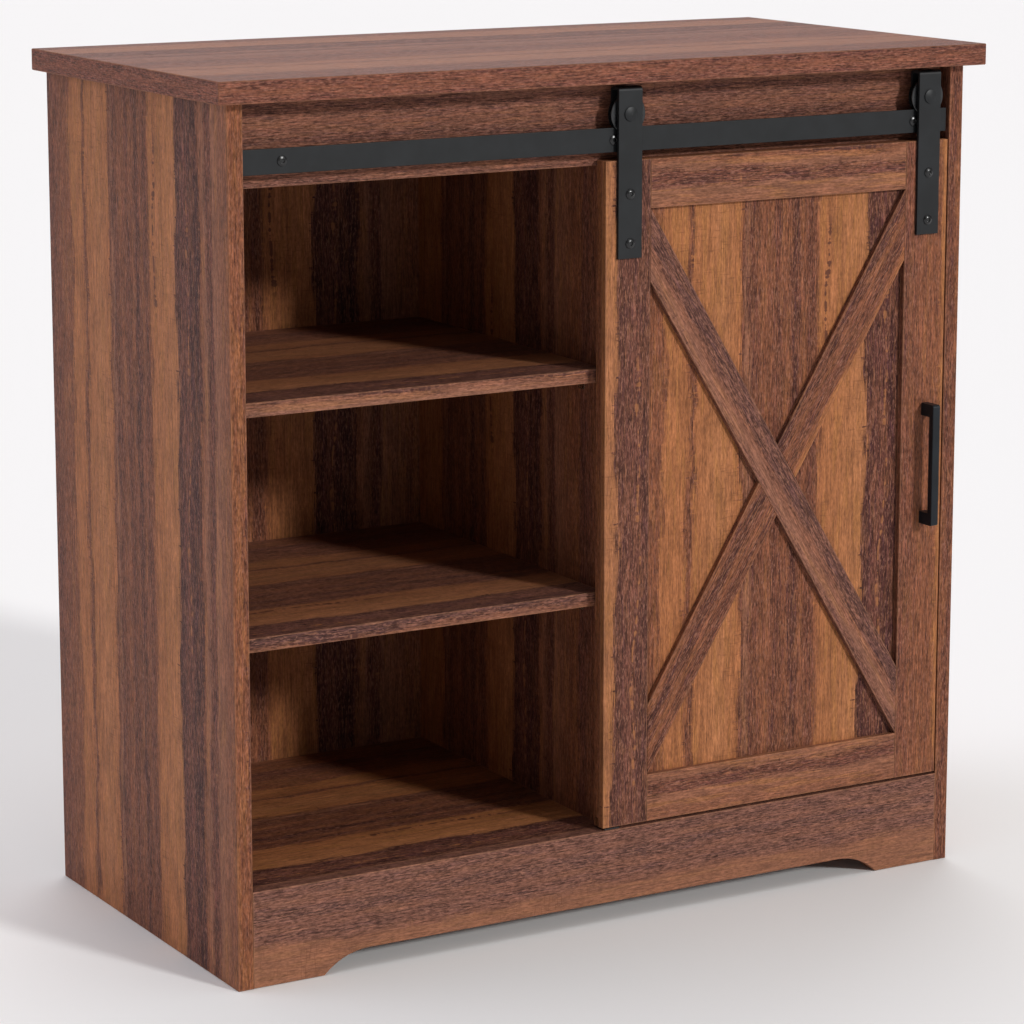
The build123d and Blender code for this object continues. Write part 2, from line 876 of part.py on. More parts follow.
with BuildPart() as door_panel:
    panel_outline = oblong(
        facing_front(door_back_y), (door_left, door_bottom), (door_right, door_top)
    )
    extrude(panel_outline, amount=door_panel_thickness)
    fillet(door_panel.faces().sort_by(Axis.Y)[-1].edges(), board_edge_radius)
    groove = oblong(
        level(door_bottom),
        (door_left, groove_middle_y - guide_groove_width / 2),
        (door_right, groove_middle_y + guide_groove_width / 2),
    )
    extrude(groove, amount=guide_groove_depth, mode=Mode.SUBTRACT)
    for screw_x, screw_z in handle_screw_places:
        seat_depth = handle_screw_head_height + handle_screw_recess
        add(
            rod((screw_x, door_back_y, screw_z), front, handle_screw_head_radius, seat_depth),
            mode=Mode.SUBTRACT,
        )
    add(door_bores, mode=Mode.SUBTRACT)


def frame_board(low, high):
    """A straight board of the door's frame, with its face edges eased."""
    with BuildPart() as board:
        extrude(oblong(facing_front(door_panel_y), low, high), amount=door_frame_thickness)
        fillet(board.faces().sort_by(Axis.Y)[0].edges(), frame_edge_radius)
        add(door_bores, mode=Mode.SUBTRACT)
    return board


left_stile = frame_board((door_left, door_bottom), (opening_left, door_top))
right_stile = frame_board((opening_right, door_bottom), (door_right, door_top))
door_top_rail = frame_board((opening_left, opening_top), (opening_right, door_top))
door_bottom_rail = frame_board((opening_left, door_bottom), (opening_right, opening_bottom))


def brace_outline(rise):
    """A brace across the opening, going up to the right (1) or down to the right (-1)."""
    left_z = opening_bottom if rise > 0 else opening_top
    right_z = opening_top if rise > 0 else opening_bottom
    with BuildSketch(facing_front(door_panel_y)) as outline:
        with BuildLine():
            Polyline(
                (opening_left, left_z),
                (opening_left, left_z + rise * brace_end_height),
                (opening_right, right_z),
                (opening_right, right_z - rise * brace_end_height),
                close=True,
            )
        make_face()
    return outline.sketch


def brace_board(outline):
    """A brace cut from its outline, with its face edges eased."""
    with BuildPart() as board:
        extrude(outline, amount=door_frame_thickness)
        fillet(board.faces().sort_by(Axis.Y)[0].edges(), frame_edge_radius)
        add(door_bores, mode=Mode.SUBTRACT)
    return board


# One brace runs through and the other is cut in two to butt against it.
rising_halves = (brace_outline(1) - brace_outline(-1)).faces().sort_by(Axis.Z)
long_brace = brace_board(brace_outline(-1))
lower_half_brace = brace_board(rising_halves[0])
upper_half_brace = brace_board(rising_halves[-1])

# ---------------------------------------------------------------- bottom guide

with BuildPart() as bottom_guide:
    guide_low = (-guide_length / 2, guide_front_y)
    guide_high = (guide_length / 2, guide_back_y)
    extrude(oblong(level(kick_height), guide_low, guide_high), amount=guide_base_thickness)
    fin = oblong(
        level(kick_height),
        (-guide_length / 2, groove_middle_y - guide_fin_thickness / 2),
        (guide_length / 2, groove_middle_y + guide_fin_thickness / 2),
    )
    extrude(fin, amount=guide_base_thickness + guide_fin_height)
    add(guide_screws.part, mode=Mode.SUBTRACT)

# ---------------------------------------------------------------- files

pieces = {
    "top_panel": top_panel,
    "left_side_panel": left_side_panel,
    "right_side_panel": right_side_panel,
    "center_divider": center_divider,
    "bottom_panel": bottom_panel,
    "back_panel": back_panel,
    "front_apron": front_apron,
    "kick_board": kick_board,
    "rear_stretcher": rear_stretcher,
    "left_upper_shelf": left_upper_shelf,
    "left_lower_shelf": left_lower_shelf,
    "right_upper_shelf": right_upper_shelf,
    "right_lower_shelf": right_lower_shelf,
    "shelf_pins": shelf_pins,
    "cam_bolts": cam_bolts,
    "cam_discs": cam_discs,
    "dowels": dowels,
    "divider_screws": divider_screws,
    "back_nails": back_nails,
    "rail_bar": rail_bar,
    "rail_spacers": rail_spacers,
    "rail_bolts": rail_bolts,
    "rail_inserts": rail_inserts,
    "bottom_guide": bottom_guide,
    "guide_screws": guide_screws,
    "door_panel": door_panel,
    "left_stile": left_stile,
    "right_stile": right_stile,
    "door_top_rail": door_top_rail,
    "door_bottom_rail": door_bottom_rail,
    "long_brace": long_brace,
    "upper_half_brace": upper_half_brace,
    "lower_half_brace": lower_half_brace,
    "frame_screws": frame_screws,
    "door_handle": door_handle,
    "handle_screws": handle_screws,
    "left_hanger_strap": straps["left"],
    "right_hanger_strap": straps["right"],
    "left_hanger_wheel": wheels["left"],
    "right_hanger_wheel": wheels["right"],
    "left_wheel_axle": axles["left"],
    "right_wheel_axle": axles["right"],
    "axle_washers": axle_washers,
    "hanger_screws": hanger_screws,
}

os.makedirs("parts", exist_ok=True)
for name, piece in pieces.items():
    piece.part.label = name
    export_step(piece.part, f"parts/{name}.step")
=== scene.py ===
import math

import bmesh
import bpy
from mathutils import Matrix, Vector


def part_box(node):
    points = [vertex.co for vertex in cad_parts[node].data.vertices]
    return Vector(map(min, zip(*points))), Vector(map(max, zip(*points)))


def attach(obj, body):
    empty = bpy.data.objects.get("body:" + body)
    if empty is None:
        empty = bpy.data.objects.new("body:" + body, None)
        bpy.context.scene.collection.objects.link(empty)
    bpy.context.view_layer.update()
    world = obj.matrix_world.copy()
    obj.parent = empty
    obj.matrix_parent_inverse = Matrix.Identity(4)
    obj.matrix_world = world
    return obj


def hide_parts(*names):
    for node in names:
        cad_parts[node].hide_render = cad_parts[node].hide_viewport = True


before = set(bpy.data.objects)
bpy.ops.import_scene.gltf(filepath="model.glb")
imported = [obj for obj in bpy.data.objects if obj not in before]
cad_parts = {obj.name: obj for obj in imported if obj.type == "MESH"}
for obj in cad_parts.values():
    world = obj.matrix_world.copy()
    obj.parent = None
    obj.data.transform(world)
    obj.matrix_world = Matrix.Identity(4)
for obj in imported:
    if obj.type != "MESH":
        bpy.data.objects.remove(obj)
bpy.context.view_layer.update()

# ---------------------------------------------------------------- side panels
# The two uprights are particle board faced with a printed walnut paper under a satin
# film, with the grain upright. They stand on the floor and carry every other board,
# held by cams and dowels.


def put(tree, kind, *values, out=0, **settings):
    """Adds a node, sets it up, and fills its inputs in order with numbers or wires."""
    new = tree.nodes.new(kind)
    for name, value in settings.items():
        setattr(new, name, value)
    for socket, value in zip(new.inputs, values):
        if isinstance(value, bpy.types.NodeSocket):
            tree.links.new(value, socket)
        elif value is not None:
            socket.default_value = value
    return new.outputs[out]


def sum_up(tree, operation, *values):
    """Works out a sum with a Math node."""
    return put(tree, "ShaderNodeMath", *values, operation=operation)


def ease(tree, value, low, high, first=0.0, last=1.0):
    """Takes a value from first to last with a smooth step between low and high."""
    return put(
        tree, "ShaderNodeMapRange", value, low, high, first, last, interpolation_type="SMOOTHSTEP"
    )


def raise_up(tree, surface, height, strength, distance):
    """Gives a surface a relief of a height in metres."""
    bump = tree.nodes.new("ShaderNodeBump")
    bump.inputs["Strength"].default_value = strength
    bump.inputs["Distance"].default_value = distance
    tree.links.new(height, bump.inputs["Height"])
    tree.links.new(bump.outputs[0], surface.inputs["Normal"])


def mix_colour(tree, amount, under, over):
    """Lays one colour over another: the amount is socket 0 and the colours are 6 and 7."""
    new = tree.nodes.new("ShaderNodeMix")
    new.data_type = "RGBA"
    for index, value in ((0, amount), (6, under), (7, over)):
        if isinstance(value, bpy.types.NodeSocket):
            tree.links.new(value, new.inputs[index])
        else:
            new.inputs[index].default_value = value
    return new.outputs[2]


def paint(red, green, blue):
    """A paint colour of 0 to 255 per channel, as the renderer's linear values."""
    channels = [value / 255 for value in (red, green, blue)]
    linear = [((c + 0.055) / 1.055) ** 2.4 if c > 0.04 else c / 12.92 for c in channels]
    return (*linear, 1.0)


PRINT_REPEAT = 400
PRINT_LENGTH = 1300
PLUM = paint(102, 61, 51)
RUSSET = paint(124, 75, 52)
AMBER = paint(151, 95, 60)
HONEY = paint(158, 103, 67)
UMBER = paint(98, 58, 45)
EBONY = paint(74, 43, 38)
BLUSH = paint(136, 90, 68)
PURPLE_STREAK = paint(84, 52, 56)
TAN_STREAK = paint(132, 88, 62)
WARM_STREAK = paint(124, 78, 56)
GOLD_STREAK = paint(160, 106, 60)
# The pale fleck colour is partly print and partly a painted glint.
PALE_FLECK_AND_GLINT = paint(156, 108, 90)
DARK_PORE = paint(52, 29, 25)
BROWN_TICK = paint(88, 50, 34)

# Each band's place across the print, in millimetres, and its colour.
PRINT_BANDS = (
    (0, PLUM),
    (34, RUSSET),
    (51, RUSSET),
    (54, AMBER),
    (76, AMBER),
    (79, RUSSET),
    (82, UMBER),
    (85, AMBER),
    (112, HONEY),
    (136, AMBER),
    (139, UMBER),
    (144, BLUSH),
    (148, UMBER),
    (168, RUSSET),
    (178, UMBER),
    (188, RUSSET),
    (197, EBONY),
    (206, RUSSET),
    (216, UMBER),
    (223, RUSSET),
    (229, AMBER),
    (277, HONEY),
    (280, EBONY),
    (296, PLUM),
    (306, EBONY),
    (320, EBONY),
    (325, RUSSET),
    (335, BLUSH),
    (341, UMBER),
    (350, PLUM),
    (355, BLUSH),
    (388, RUSSET),
)

# Each knot line's place across the print, its width, where it starts and stops along
# the print, all in millimetres, and its colour.
KNOT_LINES = (
    (236, 2.5, 570, 752, EBONY),
    (323, 1.5, 250, 800, EBONY),
    (299, 1.4, 270, 700, HONEY),
    (80, 1.5, 900, 1120, EBONY),
)
KNOT_FADE = 25


def printed_walnut():
    """The printed paper: bands across the grain, fibres, pores, ticks and knot lines."""
    tree = bpy.data.node_groups.new("Printed walnut", "ShaderNodeTree")
    for name in ("Across", "Along", "Fade"):
        tree.interface.new_socket(name, in_out="INPUT", socket_type="NodeSocketFloat")
    tree.interface.new_socket("Haze", in_out="INPUT", socket_type="NodeSocketColor")
    tree.interface.new_socket("Colour", in_out="OUTPUT", socket_type="NodeSocketColor")
    for name in ("Roughness", "Height"):
        tree.interface.new_socket(name, in_out="OUTPUT", socket_type="NodeSocketFloat")
    inlet = tree.nodes.new("NodeGroupInput")
    outlet = tree.nodes.new("NodeGroupOutput")
    across, along, sheen_amount, sheen_colour = inlet.outputs[:4]

    def fibre_noise(width, length, layer, detail=2.0):
        """Noise stretched along the grain, of a width and length in millimetres."""
        place = put(
            tree,
            "ShaderNodeCombineXYZ",
            sum_up(tree, "DIVIDE", across, width),
            sum_up(tree, "DIVIDE", along, length),
            layer,
        )
        return put(tree, "ShaderNodeTexNoise", place, None, 1.0, detail, 0.55)

    def stray(width, length, layer, reach, detail=2.0):
        """How far the print strays sideways, in millimetres."""
        swing = sum_up(tree, "SUBTRACT", fibre_noise(width, length, layer, detail), 0.5)
        return sum_up(tree, "MULTIPLY", swing, reach)

    # Bands wander slowly, and their edges break into slivers and small thorns. Dark is 1
    # in the darkest bands and 0 in the palest.
    drift = sum_up(tree, "ADD", across, stray(75, 330, 1.3, 24))
    wavy = sum_up(tree, "ADD", drift, stray(12, 55, 4.7, 13))
    frayed = sum_up(tree, "ADD", wavy, stray(1.3, 30, 8.1, 13, 3.0))
    thorn = ease(tree, fibre_noise(13, 2.4, 61.3, 1.0), 0.60, 0.76, 0.0, 3.5)
    frayed = sum_up(tree, "ADD", frayed, thorn)
    share = sum_up(tree, "FRACT", sum_up(tree, "DIVIDE", frayed, PRINT_REPEAT))
    bands = tree.nodes.new("ShaderNodeValToRGB")
    tree.links.new(share, bands.inputs[0])
    stops = bands.color_ramp.elements
    stops.remove(stops[1])
    stops[0].position = 0
    stops[0].color = PRINT_BANDS[0][1]
    for place, colour in PRINT_BANDS[1:]:
        stops.new(place / PRINT_REPEAT).color = colour
    colour = bands.outputs[0]
    dark = ease(tree, put(tree, "ShaderNodeRGBToBW", colour), 0.045, 0.15, 1.0, 0.0)

    # Long soft streaks lighten and darken the bands and turn them purple or tan.
    streak = fibre_noise(3.0, 50, 15.2, 3.0)
    mottle = fibre_noise(14, 38, 19.6, 3.0)
    lift = sum_up(tree, "MULTIPLY_ADD", sum_up(tree, "SUBTRACT", streak, 0.5), 1.2, 1.0)
    patch_lift = sum_up(tree, "MULTIPLY_ADD", sum_up(tree, "SUBTRACT", mottle, 0.5), 0.8, 1.0)
    lift = sum_up(tree, "MULTIPLY", lift, patch_lift)
    colour = put(tree, "ShaderNodeVectorMath", colour, None, None, lift, operation="SCALE")
    purple = ease(tree, fibre_noise(2.4, 34, 71.9), 0.54, 0.66, 0.0, 0.55)
    purple = sum_up(tree, "MULTIPLY", purple, dark)
    colour = mix_colour(tree, purple, colour, PURPLE_STREAK)
    tan = ease(tree, fibre_noise(2.0, 26, 83.1), 0.57, 0.67, 0.0, 0.65)
    colour = mix_colour(tree, sum_up(tree, "MULTIPLY", tan, dark), colour, TAN_STREAK)
    warm = ease(tree, fibre_noise(6, 45, 97.3), 0.50, 0.60, 0.0, 0.45)
    colour = mix_colour(tree, sum_up(tree, "MULTIPLY", warm, dark), colour, WARM_STREAK)
    gold = ease(tree, fibre_noise(6, 70, 91.7), 0.50, 0.62, 0.0, 0.45)
    light = sum_up(tree, "SUBTRACT", 1.0, dark)
    colour = mix_colour(tree, sum_up(tree, "MULTIPLY", gold, light), colour, GOLD_STREAK)

    # On some boards the bands are evened out toward one flat colour, a painted sheen.
    colour = mix_colour(tree, sheen_amount, colour, sheen_colour)

    # Fine grit, short fibres and open pores, strongest where the wood is dark.
    grit = fibre_noise(1.4, 4.5, 35.7)
    grit_lift = sum_up(tree, "MULTIPLY_ADD", dark, 1.1, 1.1)
    grit_lift = sum_up(tree, "MULTIPLY_ADD", sum_up(tree, "SUBTRACT", grit, 0.5), grit_lift, 1.0)
    colour = put(tree, "ShaderNodeVectorMath", colour, None, None, grit_lift, operation="SCALE")
    fibre = fibre_noise(1.2, 30, 11.9, 3.0)
    line_lift = sum_up(tree, "MULTIPLY_ADD", dark, 1.4, 1.2)
    line_lift = sum_up(tree, "MULTIPLY_ADD", sum_up(tree, "SUBTRACT", fibre, 0.5), line_lift, 1.0)
    colour = put(tree, "ShaderNodeVectorMath", colour, None, None, line_lift, operation="SCALE")
    # Pale flecks, partly print and partly painted glints of light off the grain's relief.
    fleck_noise = fibre_noise(1.3, 5, 27.3, 3.0)
    fleck = ease(tree, fleck_noise, 0.54, 0.64)
    fleck_and_glint_amount = sum_up(tree, "MULTIPLY", fleck, sum_up(tree, "MULTIPLY_ADD", dark, 0.40, 0.12))
    colour = mix_colour(tree, fleck_and_glint_amount, colour, PALE_FLECK_AND_GLINT)
    pore = ease(tree, fibre_noise(1.1, 11, 31.1, 3.0), 0.54, 0.64)
    pore_amount = sum_up(tree, "MULTIPLY", pore, sum_up(tree, "MULTIPLY_ADD", dark, 0.36, 0.22))
    colour = mix_colour(tree, pore_amount, colour, DARK_PORE)

    # Short ticks across the grain, in patches.
    tick = ease(tree, fibre_noise(16, 1.5, 40.3, 1.0), 0.62, 0.70)
    patch = ease(tree, fibre_noise(55, 160, 43.9, 0.0), 0.50, 0.62)
    tick = sum_up(tree, "MULTIPLY", tick, patch)
    tick = sum_up(tree, "MULTIPLY", tick, sum_up(tree, "MULTIPLY_ADD", dark, -0.2, 0.3))
    colour = mix_colour(tree, tick, colour, BROWN_TICK)

    # Knot lines: a fine dark or pale line that swells into beads.
    turns = sum_up(tree, "FRACT", sum_up(tree, "DIVIDE", along, PRINT_LENGTH))
    reading = sum_up(tree, "MULTIPLY", turns, PRINT_LENGTH)
    wavy_share = sum_up(tree, "FRACT", sum_up(tree, "DIVIDE", wavy, PRINT_REPEAT))
    place = sum_up(tree, "MULTIPLY", wavy_share, PRINT_REPEAT)
    for line, (centre, width, low, high, shade) in enumerate(KNOT_LINES):
        off = sum_up(tree, "ABSOLUTE", sum_up(tree, "SUBTRACT", place, centre))
        bead = fibre_noise(400, 6, 50.5 + 7 * line, 1.0)
        swell = sum_up(tree, "SUBTRACT", bead, 0.5)
        half = sum_up(tree, "MULTIPLY_ADD", swell, width * 7, width * 0.35)
        half = sum_up(tree, "MINIMUM", half, width)
        inside = ease(tree, sum_up(tree, "SUBTRACT", half, off), -0.6, 0.8)
        start = ease(tree, reading, low, low + KNOT_FADE)
        stop = ease(tree, reading, high - KNOT_FADE, high, 1.0, 0.0)
        mask = sum_up(tree, "MULTIPLY", inside, sum_up(tree, "MULTIPLY", start, stop))
        colour = mix_colour(tree, sum_up(tree, "MULTIPLY", mask, 0.8), colour, shade)

    # Flecks stand up and pores sink, most of all where the wood is dark.
    relief = sum_up(tree, "SUBTRACT", fleck_noise, sum_up(tree, "MULTIPLY", pore, 0.3))
    relief = sum_up(tree, "MULTIPLY", relief, sum_up(tree, "MULTIPLY_ADD", dark, 0.6, 0.4))
    rough = sum_up(tree, "MULTIPLY_ADD", fibre, 0.22, 0.36)
    tree.links.new(colour, outlet.inputs[0])
    tree.links.new(rough, outlet.inputs[1])
    tree.links.new(relief, outlet.inputs[2])
    return tree


walnut_print = printed_walnut()
# Flat colours of painted sheen, which even out the print on some boards.
PAINTED_SHEEN = paint(124, 74, 56)
MAUVE_PAINTED_SHEEN = paint(118, 84, 75)
PALE_EDGE = paint(158, 112, 84)
EDGE_LIGHTENING = 0.3
GRAIN_RELIEF = 0.0009
FILM_GLOSS = 0.1
MILLIMETRES = 1000

# The outputs that give a piece's own coordinates, the way its surface faces, and the
# number that a vector sum ends in.
OWN_PLACE = 3
OWN_FACING = 1
VECTOR_NUMBER = 1


def span(obj, direction):
    """The lowest and highest place of an object's corners along a direction."""
    places = [corner.co.dot(direction) for corner in obj.data.vertices]
    return min(places), max(places)


def walnut_finish(obj, grain, across, start, sheen_amount=0.0, sheen_colour=PAINTED_SHEEN):
    """A walnut material whose print runs with the board and wraps round its long edges.

    The start is the place on the print, across and along, where the board was cut.
    """
    grain = Vector(grain).normalized()
    across = Vector(across).normalized()
    thick = grain.cross(across)
    finish = bpy.data.materials.new("Walnut " + obj.name.replace("_", " "))
    finish.use_nodes = True
    tree = finish.node_tree
    surface = tree.nodes["Principled BSDF"]
    place = put(tree, "ShaderNodeTexCoord", out=OWN_PLACE)
    facing = put(tree, "ShaderNodeTexCoord", out=OWN_FACING)

    def measured(vector, direction):
        """How far a vector reaches along a direction."""
        kind = "ShaderNodeVectorMath"
        return put(tree, kind, vector, direction, operation="DOT_PRODUCT", out=VECTOR_NUMBER)

    starts = []
    distances = []
    for direction in (grain, across, thick):
        low, high = span(obj, direction)
        value = measured(place, direction)
        from_low = sum_up(tree, "SUBTRACT", value, low)
        starts.append(sum_up(tree, "MULTIPLY", from_low, MILLIMETRES))
        to_edge = sum_up(tree, "SUBTRACT", value, (low + high) / 2)
        to_edge = sum_up(tree, "SUBTRACT", (high - low) / 2, sum_up(tree, "ABSOLUTE", to_edge))
        distances.append(sum_up(tree, "MULTIPLY", to_edge, MILLIMETRES))
    along, over, into = starts

    # On a board's end the edging's print runs along the end instead.
    end = sum_up(tree, "GREATER_THAN", sum_up(tree, "ABSOLUTE", measured(facing, grain)), 0.7)
    wrapped = sum_up(tree, "ADD", over, into)
    over_end = sum_up(tree, "ADD", into, along)
    side_step = sum_up(tree, "SUBTRACT", over_end, wrapped)
    print_across = sum_up(tree, "MULTIPLY_ADD", side_step, end, wrapped)
    long_step = sum_up(tree, "SUBTRACT", over, along)
    print_along = sum_up(tree, "MULTIPLY_ADD", long_step, end, along)
    print_across = sum_up(tree, "ADD", print_across, start[0])
    print_along = sum_up(tree, "ADD", print_along, start[1])

    walnut = tree.nodes.new("ShaderNodeGroup")
    walnut.node_tree = walnut_print
    tree.links.new(print_across, walnut.inputs[0])
    tree.links.new(print_along, walnut.inputs[1])
    # The print is mixed by this amount toward the colour of a painted sheen.
    walnut.inputs[2].default_value = sheen_amount
    walnut.inputs[3].default_value = sheen_colour
    colour = walnut.outputs[0]

    # Along the board's edges the film is paler and rougher: the second nearest of its sides
    # is close by only there.
    first = sum_up(tree, "MINIMUM", distances[0], distances[1])
    other = sum_up(tree, "MAXIMUM", distances[0], distances[1])
    second = sum_up(tree, "MAXIMUM", first, sum_up(tree, "MINIMUM", other, distances[2]))
    nibble = put(tree, "ShaderNodeTexNoise", place, None, 90.0, 3.0, 0.6)
    edge_lightness = ease(tree, sum_up(tree, "MULTIPLY_ADD", nibble, -1.6, second), -0.4, 0.9, 1.0, 0.0)
    colour = mix_colour(tree, sum_up(tree, "MULTIPLY", edge_lightness, EDGE_LIGHTENING), colour, PALE_EDGE)
    rough = sum_up(tree, "MULTIPLY_ADD", edge_lightness, 0.12, walnut.outputs[1])

    tree.links.new(colour, surface.inputs["Base Color"])
    tree.links.new(rough, surface.inputs["Roughness"])
    raise_up(tree, surface, walnut.outputs[2], 1.0, GRAIN_RELIEF)
    surface.inputs["Specular IOR Level"].default_value = FILM_GLOSS
    return finish


def dress(name, finish):
    """Gives a CAD node one finish all over."""
    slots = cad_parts[name].data.materials
    slots.clear()
    slots.append(finish)


def dress_board(name, grain, across, start, sheen_amount=0.0, sheen_colour=PAINTED_SHEEN):
    """Gives a CAD board its walnut print."""
    dress(name, walnut_finish(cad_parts[name], grain, across, start, sheen_amount, sheen_colour))


UP, DOWN = (0, 0, 1), (0, 0, -1)
RIGHT = (1, 0, 0)
TO_FRONT, TO_BACK = (0, -1, 0), (0, 1, 0)

dress_board("left_side_panel", UP, TO_FRONT, (0, 0))
dress_board("right_side_panel", DOWN, TO_FRONT, (186, 500))

# ---------------------------------------------------------------- carcass boards
# The bottom, kick board, apron, stretcher, divider and top are cut from the same
# printed board. Their long edges are banded, and the cams hide on their back faces.

dress_board("bottom_panel", RIGHT, TO_FRONT, (-36, 420))
# The kick board, apron and top get a painted sheen: their print is mixed toward one flat colour.
dress_board("kick_board", RIGHT, DOWN, (172, 760), 0.5, MAUVE_PAINTED_SHEEN)
dress_board("front_apron", RIGHT, DOWN, (140, 640), 0.3, paint(104, 74, 68))
dress_board("rear_stretcher", RIGHT, DOWN, (130, 300))
dress_board("center_divider", UP, TO_FRONT, (90, 260))
dress_board("top_panel", RIGHT, TO_FRONT, (198, 60), 0.5, paint(118, 71, 60))

# ---------------------------------------------------------------- back panel
# A sheet of thin hardboard slid into grooves in the sides and nailed on. Its front is
# printed like the boards, and its rear is bare brown hardboard with a felted look.


def back_finish(obj):
    """Walnut print in front and bare hardboard behind."""
    finish = walnut_finish(obj, UP, RIGHT, (20, 100))
    tree = finish.node_tree
    surface = tree.nodes["Principled BSDF"]
    place = put(tree, "ShaderNodeTexCoord", out=OWN_PLACE)
    facing = put(tree, "ShaderNodeTexCoord", out=OWN_FACING)
    kind = "ShaderNodeVectorMath"
    rear = put(tree, kind, facing, TO_BACK, operation="DOT_PRODUCT", out=VECTOR_NUMBER)
    rear = sum_up(tree, "GREATER_THAN", rear, 0.5)
    felt = put(tree, "ShaderNodeTexNoise", place, None, 520.0, 5.0, 0.7)
    cloud = put(tree, "ShaderNodeTexNoise", place, None, 9.0, 3.0, 0.6)
    board = mix_colour(tree, ease(tree, felt, 0.3, 0.7), paint(104, 72, 50), paint(146, 108, 78))
    board = mix_colour(tree, ease(tree, cloud, 0.35, 0.7, 0.0, 0.35), board, paint(92, 62, 44))
    printed = surface.inputs["Base Color"].links[0].from_socket
    tree.links.new(mix_colour(tree, rear, printed, board), surface.inputs["Base Color"])
    satin = surface.inputs["Roughness"].links[0].from_socket
    dull = sum_up(tree, "MULTIPLY_ADD", rear, 0.32, satin)
    tree.links.new(dull, surface.inputs["Roughness"])
    return finish


dress("back_panel", back_finish(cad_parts["back_panel"]))

# ---------------------------------------------------------------- shelves
# Four loose shelves of thinner board lie on pins, two on each side of the divider, with
# the print's dark band along their fronts.

# Painted light: a mauve sheen mixed into the shelves' print lightens their dark bands.
for shelf, start in (
    ("left_upper_shelf", (-28, 150)),
    ("left_lower_shelf", (-34, 560)),
    ("right_upper_shelf", (-28, 900)),
    ("right_lower_shelf", (-34, 330)),
):
    dress_board(shelf, RIGHT, TO_FRONT, start, 0.25, MAUVE_PAINTED_SHEEN)

# ---------------------------------------------------------------- plated fittings
# The cams, cam bolts and long screws that hold the boards and the handle are zinc-plated
# steel, with the fine scratches and dull patches that a tumbling barrel leaves.


def plated_metal(name, bright, dull, rough):
    """Plated or plain metal with scratches and cloudy patches."""
    finish = bpy.data.materials.new(name)
    finish.use_nodes = True
    tree = finish.node_tree
    surface = tree.nodes["Principled BSDF"]
    surface.inputs["Metallic"].default_value = 1.0
    place = put(tree, "ShaderNodeTexCoord", out=OWN_PLACE)
    cloud = put(tree, "ShaderNodeTexNoise", place, None, 260.0, 3.0, 0.6)
    scratch = put(tree, "ShaderNodeTexNoise", place, None, 2400.0, 2.0, 0.7)
    tree.links.new(
        mix_colour(tree, ease(tree, cloud, 0.35, 0.65), bright, dull), surface.inputs["Base Color"]
    )
    tree.links.new(
        sum_up(tree, "MULTIPLY_ADD", scratch, 0.25, rough - 0.12), surface.inputs["Roughness"]
    )
    raise_up(tree, surface, scratch, 0.15, 0.00005)
    return finish


zinc = plated_metal("Zinc plate", paint(196, 194, 184), paint(150, 149, 142), 0.34)
for fitting in ("cam_bolts", "cam_discs", "divider_screws", "frame_screws", "handle_screws"):
    dress(fitting, zinc)

# ---------------------------------------------------------------- dowels
# Short round pegs of bare beech, glued into the board ends beside each cam. They keep
# the joints from twisting.


def bare_beech():
    """Pale beech with short dark flecks along the peg."""
    finish = bpy.data.materials.new("Bare beech")
    finish.use_nodes = True
    tree = finish.node_tree
    surface = tree.nodes["Principled BSDF"]
    place = put(tree, "ShaderNodeTexCoord", out=OWN_PLACE)
    stretched = put(tree, "ShaderNodeVectorMath", place, (500, 900, 900), operation="MULTIPLY")
    grain = put(tree, "ShaderNodeTexNoise", stretched, None, 1.0, 3.0, 0.6)
    fleck = ease(tree, grain, 0.35, 0.7)
    colour = mix_colour(tree, fleck, paint(214, 178, 132), paint(176, 134, 92))
    tree.links.new(colour, surface.inputs["Base Color"])
    tree.links.new(sum_up(tree, "MULTIPLY_ADD", grain, 0.3, 0.5), surface.inputs["Roughness"])
    return finish


dress("dowels", bare_beech())

# ---------------------------------------------------------------- rail
# A flat steel bar, powder coated in matte black, stands off the apron on spacers. Three
# button-head bolts go through it into brass inserts.


def powder_coat(name, colour, rough, gloss):
    """Matte powder coat: a fine pebbled skin, faintly uneven in tone and roughness."""
    finish = bpy.data.materials.new(name)
    finish.use_nodes = True
    tree = finish.node_tree
    surface = tree.nodes["Principled BSDF"]
    place = put(tree, "ShaderNodeTexCoord", out=OWN_PLACE)
    pebble = put(tree, "ShaderNodeTexNoise", place, None, 1500.0, 3.0, 0.6)
    cloud = put(tree, "ShaderNodeTexNoise", place, None, 45.0, 4.0, 0.6)
    lighter = tuple(min(1.0, channel * 1.7) for channel in colour[:3]) + (1.0,)
    shade = mix_colour(tree, ease(tree, cloud, 0.3, 0.75), colour, lighter)
    tree.links.new(shade, surface.inputs["Base Color"])
    patchy = sum_up(tree, "MULTIPLY_ADD", cloud, 0.16, rough - 0.08)
    tree.links.new(
        sum_up(tree, "MULTIPLY_ADD", pebble, 0.12, sum_up(tree, "SUBTRACT", patchy, 0.06)),
        surface.inputs["Roughness"],
    )
    raise_up(tree, surface, pebble, 0.25, 0.00008)
    surface.inputs["Specular IOR Level"].default_value = gloss
    return finish


black_coat = powder_coat("Black powder coat", paint(15, 17, 19), 0.46, 0.3)
for steel in ("rail_bar", "rail_spacers"):
    dress(steel, black_coat)
brass = plated_metal("Turned brass", paint(196, 158, 86), paint(158, 122, 62), 0.30)
dress("rail_inserts", brass)


